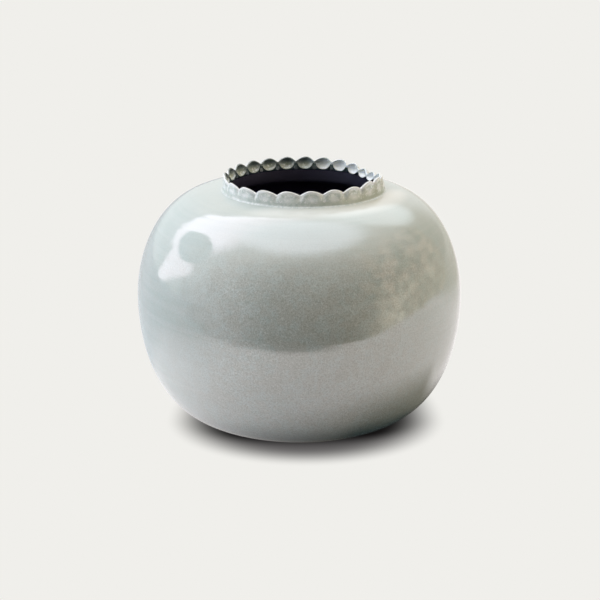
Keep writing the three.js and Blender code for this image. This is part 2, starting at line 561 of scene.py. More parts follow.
@dataclass(frozen=True)
class CeladonGlaze(Finish):
    """Pale blue-green glaze, glossy, with orange peel and faint throwing lines.

    It is freckled on the body's front, with painted glints among the freckles and painted light just
    under the neck's front; above the foot it turns teal, partly gathered glaze and partly painted
    shade heavier at the right.
    """

    name: str = "celadon_glaze"
    body: Colour = linear(204, 213, 210)
    thick: Colour = linear(192, 205, 201)
    thin: Colour = linear(211, 218, 214)
    speck: Colour = linear(150, 152, 140)
    warm: Colour = linear(196, 190, 178)
    # Painted white: glints among the front's freckles, and light just under the neck's front.
    painted_white: Colour = linear(240, 243, 240)
    # Teal above the foot: partly glaze gathered there, partly painted shade, heavier at the right.
    gathered_and_shade: Colour = linear(60, 98, 104)
    ior: float = 2.3
    peel: float = 0.022 * MM
    peel_scale: float = 1000
    lines: float = 0.05 * MM
    line_stretch: Point3 = (6, 6, 400)
    line_share: float = 0.3
    tone_scale: float = 14
    thick_tone: Ramp = (0.36, 0.52)
    thin_tone: Ramp = (0.5, 0.66)
    mottle: Pattern = Pattern(170, 3, 0.65, (0.4, 0.6, 0, 0.3))
    patches: Pattern = Pattern(62, 3, 0.65, (0.5, 0.62, 0, 0.4))
    specks: Pattern = Pattern(1150, 2, 0.7, (0.36, 0.56, 0.42, 0))
    # Painted glints: white flecks in the colour that stand in for glints of light.
    glints: Pattern = Pattern(1250, 2, 0.7, (0.52, 0.66, 0, 0.45))
    gloss: Pattern = Pattern(90, 4, 0.6, (0.3, 0.7, 0.015, 0.07))
    freckled_height: Ramp = (138 * MM, 108 * MM, 0.12, 1)
    freckled_left: Ramp = (-80 * MM, -30 * MM, 0.3, 1)
    freckled_right: Ramp = (90 * MM, 50 * MM, 0.5, 1.15)
    # Where painted light whitens the shoulder just under the neck's front.
    neck_light_height: Ramp = (142.5 * MM, 146.2 * MM, 0, 0.9)
    neck_light_front: Ramp = (-30 * MM, -50 * MM)
    neck_light_turn: float = -0.6
    # Where the teal lies: low down, and stronger towards the shaded right as painted shade.
    gathered_and_shade_height: Ramp = (26 * MM, 6 * MM, 0, 0.8)
    gathered_and_shade_side: Ramp = (-60 * MM, 0, 0.2, 1)

    def look(self, nodes: Nodes) -> Inputs:
        """Wires colour, gloss and relief.

        Args:
            nodes: The material's nodes.

        Returns:
            What the shader takes.
        """
        where = nodes.place()
        x, y, z = nodes.split(where)
        lines = nodes.grain(nodes.stretch(where, self.line_stretch), 1, 4, 0.65)
        cloud = nodes.grain(where, self.tone_scale, 3)
        tone = cloud * (1 - self.line_share) + lines * self.line_share
        colour = nodes.mix(tone.ease(*self.thick_tone), self.thick, self.body)
        colour = nodes.mix(tone.ease(*self.thin_tone), colour, self.thin)
        freckled = z.ease(*self.freckled_height) * x.ease(*self.freckled_left)
        freckled = freckled * x.ease(*self.freckled_right)
        mottle = nodes.pattern(where, self.mottle).most(nodes.pattern(where, self.patches))
        # The front side, where painted light whitens the shoulder under the neck.
        front = x.math("MULTIPLY_ADD", self.neck_light_turn, y).ease(*self.neck_light_front)
        for share, tint in (
            (mottle * freckled, self.warm),
            (nodes.pattern(where, self.specks) * freckled, self.speck),
            # Painted glints.
            (nodes.pattern(where, self.glints) * freckled, self.painted_white),
            # Painted light under the neck's front.
            (z.ease(*self.neck_light_height) * front, self.painted_white),
            # Teal above the foot: partly gathered glaze, partly painted shade heavier at the right.
            (z.ease(*self.gathered_and_shade_height) * x.ease(*self.gathered_and_shade_side), self.gathered_and_shade),
        ):
            colour = nodes.mix(share, colour, tint)
        peel = nodes.grain(where, self.peel_scale, 2, 0.55)
        return {
            "Base Color": colour,
            "Roughness": nodes.pattern(where, self.gloss),
            "Normal": nodes.bump(peel, self.peel, nodes.bump(lines, self.lines)),
            "IOR": self.ior,
        }


@dataclass(frozen=True)
class RimGlaze(CeladonGlaze):
    """The same glaze on the pinched rim: white over edges, partly where it breaks and partly painted
    highlight; olive in the dishes and low outside, partly pooled and partly painted shade; painted
    shade at the dishes' tops.
    """

    name: str = "rim_glaze"
    lumps: float = 0.17 * MM
    lump_scale: float = 520
    lump_tone: Ramp = (0.42, 0.6, 0, 0.6)
    # Painted glints: white sparkles laid over the lumpy top of the rim.
    sparkle_scale: float = 700
    sparkle_white: Ramp = (0.52, 0.66, 0, 0.85)
    rim: Colour = linear(232, 236, 232)
    rim_share: float = 0.8
    # White of the edges and sparkles: partly glaze breaking thin, partly painted highlight.
    edge: Colour = linear(248, 248, 246)
    # Olive: partly pooled glaze, partly painted shade.
    pool: Colour = linear(180, 187, 165)
    # Painted shade: dark teal where the dishes' tops, the webs and the throat lie in shade.
    film: Colour = linear(74, 92, 86)
    shade: Colour = linear(46, 44, 62)
    lumpy_height: Ramp = (146.8 * MM, 149.5 * MM)
    translucence: float = 0.4
    translucent_tint: Point3 = (1.0, 1.0, 0.9)
    translucent_depth: float = 1.5 * MM

    def look(self, nodes: Nodes) -> Inputs:
        """Adds lumps, painted white sparkles and the washes of the mesh to the glaze.

        Args:
            nodes: The material's nodes.

        Returns:
            What the shader takes.
        """
        found = super().look(nodes)
        where = nodes.place()
        lumpy = nodes.split(where)[2].ease(*self.lumpy_height)
        lumps = nodes.grain(where, self.lump_scale, 3, 0.65)
        # Painted sparkles on the lumpy top of the rim.
        painted_sparkles = nodes.grain(where, self.sparkle_scale, 2, 0.6) * lumpy
        colour = nodes.mix(self.rim_share, found["Base Color"], self.rim)
        for share, tint in (
            (lumps.ease(*self.lump_tone), self.thick),
            # Olive, partly pooled glaze and partly painted shade.
            (nodes.point_value(Wash.POOL.value), self.pool),
            (painted_sparkles.ease(*self.sparkle_white), self.edge),
            # White edges, partly glaze breaking thin and partly painted highlight.
            (nodes.point_value(Wash.EDGE.value), self.edge),
            # Painted shade.
            (nodes.point_value(Wash.PAINTED_SHADE.value), self.film),
            (nodes.point_value(Wash.SHADE.value), self.shade),
        ):
            colour = nodes.mix(share, colour, tint)
        return found | {
            "Base Color": colour,
            "Normal": nodes.bump(lumps * lumpy, self.lumps, found["Normal"]),
            "Subsurface Weight": self.translucence,
            "Subsurface Radius": self.translucent_tint,
            "Subsurface Scale": self.translucent_depth,
        }


@dataclass(frozen=True)
class LinerGlaze(Finish):
    """Near-black glaze inside, darkest in the throat; its paler tones deep down and in the neck are
    painted light where little light reaches.
    """

    name: str = "liner_glaze"
    # Painted light: the paler tones deep down and in the neck, where little light gets in.
    deep: Colour = linear(88, 78, 106)
    throat: Colour = linear(38, 34, 46)
    neck: Colour = linear(66, 62, 78)
    film: Colour = linear(66, 66, 80)
    throat_height: Ramp = (120 * MM, 136 * MM)
    neck_height: Ramp = (137.5 * MM, 147 * MM)
    cloud_stretch: Point3 = (1, 1, 5)
    cloud_scale: float = 22
    cloud_film: Ramp = (0.4, 0.7, 0, 0.4)
    cloud_gloss: Ramp = (0.3, 0.7, 0.28, 0.45)
    relief: float = 0.05 * MM
    relief_scale: float = 420

    def look(self, nodes: Nodes) -> Inputs:
        """Wires colour, gloss and relief.

        Args:
            nodes: The material's nodes.

        Returns:
            What the shader takes.
        """
        where = nodes.place()
        z = nodes.split(where)[2]
        cloud = nodes.grain(nodes.stretch(where, self.cloud_stretch), self.cloud_scale, 4, 0.6)
        colour = nodes.mix(z.ease(*self.throat_height), self.deep, self.throat)
        colour = nodes.mix(z.ease(*self.neck_height), colour, self.neck)
        return {
            "Base Color": nodes.mix(cloud.ease(*self.cloud_film), colour, self.film),
            "Roughness": cloud.ease(*self.cloud_gloss),
            "Normal": nodes.bump(nodes.grain(where, self.relief_scale), self.relief),
        }


@dataclass(frozen=True)
class BareClay(Finish):
    """Unglazed fired stoneware, matt and gritty."""

    name: str = "bare_clay"
    body: Colour = linear(186, 168, 142)
    burnt: Colour = linear(158, 134, 106)
    grit: Colour = linear(96, 80, 66)
    cloud_scale: float = 40
    cloud_burnt: Ramp = (0.35, 0.65)
    cloud_gloss: Ramp = (0.3, 0.7, 0.8, 0.95)
    grit_scale: float = 1500
    grit_dark: Ramp = (0.62, 0.7, 0, 0.7)
    grit_depth: float = 0.12 * MM
    ring_stretch: Point3 = (40, 40, 900)
    ring_depth: float = 0.06 * MM

    def look(self, nodes: Nodes) -> Inputs:
        """Wires colour, gloss and relief.

        Args:
            nodes: The material's nodes.

        Returns:
            What the shader takes.
        """
        where = nodes.place()
        cloud = nodes.grain(where, self.cloud_scale, 4, 0.6)
        grit = nodes.grain(where, self.grit_scale)
        rings = nodes.grain(nodes.stretch(where, self.ring_stretch), 1)
        colour = nodes.mix(cloud.ease(*self.cloud_burnt), self.burnt, self.body)
        return {
            "Base Color": nodes.mix(grit.ease(*self.grit_dark), colour, self.grit),
            "Roughness": cloud.ease(*self.cloud_gloss),
            "Normal": nodes.bump(grit, self.grit_depth, nodes.bump(rings, self.ring_depth)),
        }


@dataclass
class ClayBody:
    """The thrown clay: lower bowl, shoulder dome, neck collar and trimmed foot."""

    sizes: Measures
    clay: Material
    segments: int = 128
    steps: int = 28
    round_steps: int = 4
    foot_bevel: float = 1 * MM
    bevel_steps: int = 5

    def build(self) -> list[Piece]:
        """Builds the clay's four pieces and seats them on the frame."""
        return [self.foot(), self.bowl(), self.dome(), self.collar()]

    def turn(self, name: str, node: str, profile: Profile) -> Piece:
        """Turns one clay piece, which stands for one node."""
        piece = turned(name, profile, self.segments, self.sizes.place, self.clay)
        return rest_on_frame(piece, Slot.CLAY, node)

    def foot(self) -> Piece:
        """Builds the trimmed foot, rounded where it meets the table.

        Returns:
            The foot.
        """
        s = self.sizes
        inner = s.foot_radius - s.foot_width
        bevel = self.foot_bevel
        inner_round = quarter((inner + bevel, bevel), bevel, self.bevel_steps)
        outer_round = [(s.foot_radius + inner - r, z) for r, z in inner_round]
        top = [(s.foot_radius, s.foot_height), (inner, s.foot_height)]
        return self.turn("foot", "foot_ring", [*outer_round, *top, *inner_round[::-1]])

    def bowl(self) -> Piece:
        """Builds the floor and the wall up to the belly.

        Returns:
            The lower bowl.
        """
        s = self.sizes
        profile = [
            (0, s.foot_height),
            (s.foot_radius - s.foot_width, s.foot_height),
            *s.underside.under(s.glaze, self.steps),
            *s.underside.under(s.glaze + s.wall, self.steps)[::-1],
            (0, s.foot_height + s.wall),
        ]
        return self.turn("bowl_clay", "lower_bowl", profile)

    def dome(self) -> Piece:
        """Builds the shoulder with the sunk seat for the collar.

        Returns:
            The dome.
        """
        s = self.sizes
        profile = [
            *s.shoulder.under(s.glaze, self.steps),
            (s.neck_root, s.seat),
            (s.collar_inner, s.seat),
            *quarter(s.throat, s.throat_round, self.round_steps)[::-1],
            *s.shoulder.under(s.glaze + s.wall, self.steps)[::-1],
        ]
        return self.turn("dome_clay", "shoulder_dome", profile)

    def collar(self) -> Piece:
        """Builds the ring that the rim stands on.

        Returns:
            The collar.
        """
        s = self.sizes
        centre = (s.neck_root, s.shoulder_height + s.neck_fillet)
        profile = [
            (s.collar_inner, s.seat),
            (s.neck_root, s.seat),
            *quarter(centre, s.neck_fillet + s.glaze, self.round_steps),
            (s.neck_radius - s.glaze, s.neck_top),
            (s.collar_inner, s.neck_top),
        ]
        return self.turn("collar_clay", "neck_collar", profile)


@dataclass
class GlazeCoats:
    """The celadon coat outside and the dark coat inside."""

    sizes: Measures
    celadon: Material
    liner: Material
    segments: int = 256
    steps: int = 72
    back_steps: int = 24
    liner_segments: int = 160
    liner_steps: int = 36
    round_steps: int = 4
    unevenness: float = 0.16 * MM
    unevenness_scale: float = 1.3
    ring_pitch: float = 7.5 * MM
    ring_depth: float = 0.02 * MM
    ring_scale: float = 2.1
    foot_fade: float = 12 * MM
    neck_fade: float = 6 * MM

    def build(self) -> list[Piece]:
        """Builds both coats and seats them on the frame."""
        return [self.outside(), self.inside()]

    def thrown(self, turn: float, r: float, z: float) -> Vector:
        """Puts a point of the outside in space, with the hand's unevenness.

        The surface only ever falls short of the measured one, so the belly keeps its size.

        Args:
            turn: The bearing round the axis.
            r: The radius.
            z: The height.

        Returns:
            The point.
        """
        s = self.sizes
        around = Vector((math.sin(turn), math.cos(turn), z / s.belly_radius))
        sag = self.unevenness * (0.5 + 0.5 * noise.noise(around * self.unevenness_scale))
        wave = 0.5 + 0.5 * math.sin(2 * math.pi * z / self.ring_pitch + turn)
        elsewhere = around * self.ring_scale + Vector((3, 5, 7))
        sag += self.ring_depth * wave * (0.5 + 0.5 * noise.noise(elsewhere))
        sag *= smooth(z, s.foot_height, self.foot_fade)
        sag *= smooth(s.shoulder_height - z, 0, self.neck_fade)
        return s.place(turn, r - sag, z)

    def outside(self) -> Piece:
        """Builds the celadon coat, from above the bare foot to the neck.

        Returns:
            The celadon coat.
        """
        s = self.sizes
        lip = [(s.neck_radius, s.shoulder_height), (s.neck_radius, s.shoulder_height - s.glaze)]
        profile = [*s.skin(0, self.steps), *lip, *s.skin(s.glaze, self.back_steps)[::-1]]
        piece = turned("celadon_coat", profile, self.segments, self.thrown, self.celadon, 60)
        return rest_on_frame(piece, Slot.CELADON, "outer_glaze")

    def inside(self) -> Piece:
        """Builds the dark coat on the floor, the walls and the throat.

        Returns:
            The dark coat.
        """
        profile = [*self.lining(0), *self.lining(self.sizes.liner)[::-1]]
        piece = turned("dark_coat", profile, self.liner_segments, self.sizes.place, self.liner)
        return rest_on_frame(piece, Slot.LINER, "liner_glaze")

    def lining(self, over: float) -> Profile:
        """Lists a face of the dark coat, from the floor to the neck.

        Args:
            over: How far the face lies over the clay.

        Returns:
            The points as (radius, height).
        """
        s = self.sizes
        return [
            (0, s.foot_height + s.wall + over),
            *s.skin(s.glaze + s.wall + over, self.liner_steps),
            *quarter(s.throat, s.throat_round + over, self.round_steps),
            (s.collar_inner - over, s.neck_top),
        ]


@dataclass(frozen=True)
class Swell:
    """A stretch of the rim that the hand drew up or pressed in, at a bearing in degrees."""

    bearing: float
    spread: float
    rise: float
    inward: float

    def share(self, bearing: float) -> float:
        """Says how much of it is there at a bearing."""
        return hump((bearing - self.bearing + 180) % 360 - 180, 0, self.spread)


@dataclass(frozen=True)
class Pinch:
    """One column of the rim, somewhere across a scallop.

    Attributes:
        aside: Where it is across its scallop, -1 and 1 at the cusps.
        side_shade: How much painted shade it takes: full at the left and the back, faint on the lit
            right-hand side.
        press: How hard the finger pressed it outside, which deepens its dent; it also scales the olive
            there, partly pooled glaze and partly painted shade heavier at the right.
        bowl: How open the thumb's dish is there, 0 beside it and 1 in its middle.
        rise: How far the hand drew the rim up there.
        shoulder: Height where the edge's round starts.
        radius: Radius of the edge's middle.
    """

    aside: float
    side_shade: float
    press: float
    bowl: float
    rise: float
    shoulder: float
    radius: float


Section = Iterator[tuple[float, float, dict[Wash, float]]]


@dataclass
class PinchedRim:
    """The coil rim, pinched into scallops between finger and thumb."""

    sizes: Measures
    glaze: Material
    count: int = 24
    steps: int = 28
    fillet_rows: int = 8
    outer_rows: int = 17
    edge_rows: int = 8
    dish_rows: int = 16
    sharp: float = 75
    height: float = 8.7 * MM
    edge: float = 1.6 * MM
    edge_rise: float = 0.35
    lean: float = 1.6 * MM
    scallop_depth: float = 2.6 * MM
    cusp_draw_in: float = 1.2 * MM
    cusp_groove: float = 0.5 * MM
    belly: float = 0.2 * MM
    finger_dent: float = 1 * MM
    finger_width: float = 6.3 * MM
    dish_width: float = 10.7 * MM
    dish_reach: float = 1.9 * MM
    dish_hollow: float = 1 * MM
    dish_squareness: float = 2.5
    lip_height: float = 1 * MM
    lip_follow: float = 0.25
    lip_step: float = 0.1 * MM
    lip_round: float = 0.3 * MM
    web_depth: float = 1.2 * MM
    fillet_spread: float = 2 * MM
    fillet_sink: float = 0.06 * MM
    root_sink: float = 0.5 * MM
    crest_lean: float = 0.05
    crest_power: float = 0.85
    cusp_round: float = 0.12
    first_cusp: float = math.radians(-2.6)
    stretch: float = math.radians(2.9)
    second_stretch: float = math.radians(0.95)
    pitch_drift: float = math.radians(3.05)
    # The painted shade on the dishes fades between these bearings on the lit right-hand side.
    lit_side: float = 0.92
    lit_side_start: Ramp = (30, 60)
    lit_side_end: Ramp = (182, 154)
    # The finger's press, which also lays the olive's painted shade heavier towards the right.
    left_press: float = 0.3
    front_press_at: Ramp = (-12, 38)
    right_press: float = 0.35
    right_press_at: Ramp = (25, 60)
    swells: tuple[Swell, ...] = (
        Swell(115, 23, -2.85 * MM, 3 * MM),
        Swell(60, 15, 1.9 * MM, -0.6 * MM),
        Swell(-48, 50, -1.05 * MM, -1.3 * MM),
    )

    def build(self) -> Piece:
        """Builds the rim and seats it on the frame.

        Returns:
            The rim.
        """
        shell = bmesh.new()
        layers = {wash: shell.verts.layers.float.new(wash.value) for wash in Wash}
        columns = []
        for i in range(self.count * self.steps):
            turn, pinch = self.pinch(i)
            column = []
            for r, z, washes in self.section(pinch):
                spot = self.sizes.place(turn, r, z)
                if r > self.sizes.neck_root:
                    spot.x += self.sizes.mouth_shift - self.sizes.drift(r, z)
                vertex = shell.verts.new(spot)
                for wash, layer in layers.items():
                    vertex[layer] = washes.get(wash, 0.0)
                column.append(vertex)
            columns.append(column)
        for here, there in zip(columns, columns[1:] + columns[:1]):
            for k in range(len(here)):
                up = (k + 1) % len(here)
                shell.faces.new((here[k], there[k], there[up], here[up]))
        piece = finish_piece(shell, "pinched_edge", self.glaze, self.sharp)
        return rest_on_frame(piece, Slot.CELADON, "pinched_rim")

    def swell_at(self, bearing: float) -> Point:
        """Says how far the rim is drawn up at a bearing, and how far it is pressed in."""
        shares = [swell.share(bearing) for swell in self.swells]
        return weigh(shares, [(swell.rise, swell.inward) for swell in self.swells])

    @property
    def pitch(self) -> float:
        """Width of one scallop along the edge."""
        return 2 * math.pi * (self.sizes.neck_radius - self.lean) / self.count

    def bearing(self, column: int) -> float:
        """Finds a column's bearing, where the scallops are spaced as the hand spaced them.

        Args:
            column: The column's number round the mouth.

        Returns:
            The bearing from the front towards +X, in radians.
        """
        even = self.first_cusp + column / (self.count * self.steps) * 2 * math.pi
        spread = self.stretch * math.sin(even) + self.second_stretch * math.sin(2 * even)
        return even + spread - self.pitch_drift * (1 - math.cos(even))

    def pinch(self, column: int) -> tuple[float, Pinch]:
        """Finds the shape of the rim at one column.

        Args:
            column: The column's number round the mouth.

        Returns:
            Its bearing and its shape.
        """
        s = self.sizes
        across = (column % self.steps) / self.steps
        leaning = across + self.crest_lean * math.sin(math.pi * across) ** 2
        blunt = math.hypot(math.sin(math.pi * leaning), self.cusp_round) - self.cusp_round
        crest = (blunt / (math.hypot(1, self.cusp_round) - self.cusp_round)) ** self.crest_power
        aside = 2 * across - 1
        open_to = abs(aside * self.pitch / self.dish_width) ** self.dish_squareness
        bowl = math.sqrt(max(0.0, 1 - open_to))
        turn = self.bearing(column)
        rise, inward = self.swell_at(math.degrees(turn))
        top = s.neck_top + self.height - self.scallop_depth * (1 - crest) + rise
        radius = s.neck_radius - self.lean - self.cusp_draw_in * (1 - crest) - inward
        bearing = math.degrees(turn) % 360
        # Painted shade: full on the shaded side, faded on the lit right-hand side.
        side_shade = 1 - self.lit_side * smooth(bearing, *self.lit_side_end) * smooth(bearing, *self.lit_side_start)
        facing = (bearing + 180) % 360 - 180
        # Press deepens the dent and scales the olive, which is partly painted shade.
        press = self.left_press + (1 - self.left_press) * smooth(facing, *self.front_press_at)
        press += self.right_press * smooth(facing, *self.right_press_at)
        shoulder = top - self.edge_rise * self.edge
        return turn, Pinch(aside, side_shade, press, bowl, rise, shoulder, radius)

    def section(self, pinch: Pinch) -> Section:
        """Lists the rim's section at one column, anticlockwise from the bore.

        Args:
            pinch: The column's shape, which each part of the section takes.

        Yields:
            The radius and height of each point, and what the glaze does there.
        """
        for part in (self.fillet, self.outside, self.thin_edge, self.dish, self.throat):
            yield from part(pinch)

    def fillet(self, pinch: Pinch) -> Section:
        """Lists the fillet that joins the rim's band to the shoulder.

        Args:
            pinch: The column's shape.

        Yields:
            The points, with what the glaze does at each.
        """
        s = self.sizes
        # Olive in the crease: partly pooled glaze, partly painted shade.
        olive = min(1.0, 0.7 * pinch.press)
        root = s.shoulder_height - self.root_sink
        outer = s.neck_radius + self.fillet_spread + self.lip_step
        yield s.liner_bore, root, {Wash.SHADE: 1.0}
        yield outer, root, {}
        for i, (r, z) in enumerate(quarter((1, 1), 1, self.fillet_rows)):
            height = s.shoulder_height - self.fillet_sink + s.neck_fillet * z
            pool = olive * smooth(i, 2, self.fillet_rows)
            yield s.neck_radius + self.fillet_spread * r, height, {Wash.POOL: pool}

    def outside(self, pinch: Pinch) -> Section:
        """Lists the outer face from the neck upwards.

        It swells a little, is grooved at each cusp and has the oval dent of a finger
        under each crest. Its olive low down and under the crest is partly pooled glaze and
        partly painted shade; its white is partly glaze breaking thin and partly painted
        highlight, and only painted highlight on the dents' lower halves.

        Args:
            pinch: The column's shape.

        Yields:
            The points, with what the glaze does at each.
        """
        s = self.sizes
        cusp = hump(1 - abs(pinch.aside), 0, 0.26)
        depth = self.finger_dent * (0.4 + 0.6 * min(1.0, pinch.press + 0.35))
        sideways = pinch.aside * self.pitch / self.finger_width
        for i in range(1, self.outer_rows):
            share = i / self.outer_rows
            r = s.neck_radius + (pinch.radius + self.edge / 2 - s.neck_radius) * share**1.6
            r += self.belly * (1 - pinch.aside**2) * math.sin(math.pi * share) ** 1.2
            r -= self.cusp_groove * cusp * smooth(share, 0.3, 0.9)
            r -= depth * hump(sideways, 0, 1) * hump(share, 0.56, 0.26)
            z = s.neck_top + (pinch.shoulder - s.neck_top) * share
            dent = hump(sideways, 0, 1.05) * hump(share, 0.45, 0.3)
            # Olive low on the face and under the crest, thinner in the dent's middle: partly pooled
            # glaze, partly painted shade.
            pool = 0.7 * (1 - smooth(share, 0.1, 0.8)) * (1 - 0.85 * dent)
            pool += 0.5 * hump(share, 0.74, 0.1) * hump(sideways, -0.2, 0.8)
            pool = min(1.0, (pool + 0.2 * (pinch.press - self.left_press)) * pinch.press)
            # White on the cusp ridges: partly glaze breaking thin, partly painted highlight.
            ridge = 0.35 * cusp * smooth(share, 0.55, 0.9)
            # Painted highlight on the lower, upward-facing half of the finger's dent.
            dent_highlight = 0.6 * hump(sideways, 0, 0.9) * hump(share, 0.34, 0.2)
            white = max(ridge, dent_highlight, smooth(share, 0.78, 0.94))
            yield r, z, {Wash.EDGE: white, Wash.POOL: pool}

    def thin_edge(self, pinch: Pinch) -> Section:
        """Lists the rounded edge over the top: white outside, partly glaze breaking thin and partly
        painted highlight, and painted shade inside.

        Args:
            pinch: The column's shape.

        Yields:
            The points, with what the glaze does at each.
        """
        for i in range(self.edge_rows + 1):
            turn = i / self.edge_rows * math.pi
            # Painted shade on the inner half of the edge, faded on the lit side.
            film = pinch.side_shade * (0.5 + 0.35 * pinch.bowl) * smooth(turn, 0.9, 2.2)
            r = pinch.radius + self.edge / 2 * math.cos(turn)
            z = pinch.shoulder + self.edge_rise * self.edge * math.sin(turn)
            yield r, z, {Wash.EDGE: 1 - smooth(turn, 1.2, 2.4), Wash.PAINTED_SHADE: film}

    def lip(self, pinch: Pinch) -> Point:
        """Finds the lower lip of the dish, which meets the edge beside the dish.

        Args:
            pinch: The column's shape.

        Returns:
            The lip as (radius, height).
        """
        inner = pinch.radius - self.edge / 2
        beside = pinch.shoulder - self.web_depth
        middle = self.sizes.neck_top + self.lip_height + pinch.rise * self.lip_follow
        return inner - self.dish_reach * pinch.bowl, beside + (middle - beside) * pinch.bowl

    def dish(self, pinch: Pinch) -> Section:
        """Lists the thumb's dish from the edge down to the lip.

        Args:
            pinch: The column's shape.

        Yields:
            The points, with what the glaze does at each.
        """
        lip_r, lip_z = self.lip(pinch)
        inner = pinch.radius - self.edge / 2
        for i in range(self.dish_rows - 1, 0, -1):
            share = i / self.dish_rows
            turn = share * math.pi / 2
            r = lip_r + (inner - lip_r) * math.sin(turn)
            r += self.dish_hollow * pinch.bowl * math.sin(math.pi * share) ** 0.8
            high = 1 - math.cos(turn)
            z = lip_z + (pinch.shoulder - lip_z) * high
            # Painted shade on the dish's upper part and beside it. The olive low in the dish is partly
            # pooled glaze and partly painted shade. On the lit right-hand side the dish is painted
            # white instead.
            film = pinch.side_shade * max(0.85 * pinch.bowl * smooth(high, 0.3, 0.75), 0.7 * (1 - pinch.bowl))
            pool = pinch.side_shade * pinch.bowl * (1 - smooth(high, 0.35, 0.75)) * smooth(share, 0.0, 0.2)
            yield r, z, {Wash.POOL: pool, Wash.PAINTED_SHADE: film, Wash.EDGE: 1 - pinch.side_shade}

    def throat(self, pinch: Pinch) -> Section:
        """Lists the lip's round and the wall down to the bore, where the dark glaze reaches up.

        Args:
            pinch: The column's shape.

        Yields:
            The points, with what the glaze does at each.
        """
        s = self.sizes
        lip_r, lip_z = self.lip(pinch)
        beside = 1 - pinch.bowl
        reach = 0.35 - 0.3 * beside
        wall_r = lip_r + self.lip_step
        wall_z = lip_z - self.lip_round
        # Painted shade under the lip, over which the dark liner glaze also reaches up.
        yield lip_r, lip_z, {Wash.PAINTED_SHADE: (0.35 + 0.4 * beside) * pinch.side_shade}
        yield wall_r, wall_z, {Wash.SHADE: reach, Wash.PAINTED_SHADE: 0.95}
        for share in (0.15, 0.3, 0.5, 0.75, 1.0):
            r = wall_r + (s.liner_bore - wall_r) * share**1.5
            z = wall_z + (s.neck_top - wall_z) * share
            yield r, z, {Wash.SHADE: max(reach, smooth(share, 0.1, 1.1)), Wash.PAINTED_SHADE: 1.0}


def stage_mesh(name: str, points: list[Point3], faces: list[tuple[int, ...]], look: Material) -> Piece:
    """Makes a flat thing of the studio.

    Args:
        name: Its name.
        points: Its corners.
        faces: Its faces, as numbers of corners.
        look: Its material.

    Returns:
        The object.
    """
    mesh = bpy.data.meshes.new(name)
    mesh.from_pydata(points, [], faces)
    mesh.materials.append(look)
    return in_scene(name, mesh)


def sheet(name: str, low: Point, high: Point, look: Material) -> Piece:
    """Makes a flat rectangle between two corners."""
    points = [(low[0], low[1], 0), (high[0], low[1], 0), (high[0], high[1], 0), (low[0], high[1], 0)]
    return stage_mesh(name, points, [(0, 1, 2, 3)], look)


def mirror_only(card: Piece) -> None:
    """Lets a card show in glossy surfaces and nowhere else.

    Args:
        card: The card.
    """
    for rays in ("camera", "diffuse", "transmission", "volume_scatter", "shadow"):
        setattr(card, f"visible_{rays}", False)


@dataclass(frozen=True)
class Oval:
    """An oval on the floor, with its middle and half its width and depth."""

    middle: Point
    half: Point

    def away(self, nodes: Nodes, x: Signal, y: Signal) -> Signal:
        """Says how far out a place lies, 0 in the middle and 1 on the outline."""
        return nodes.length((x - self.middle[0]) / self.half[0], (y - self.middle[1]) / self.half[1])


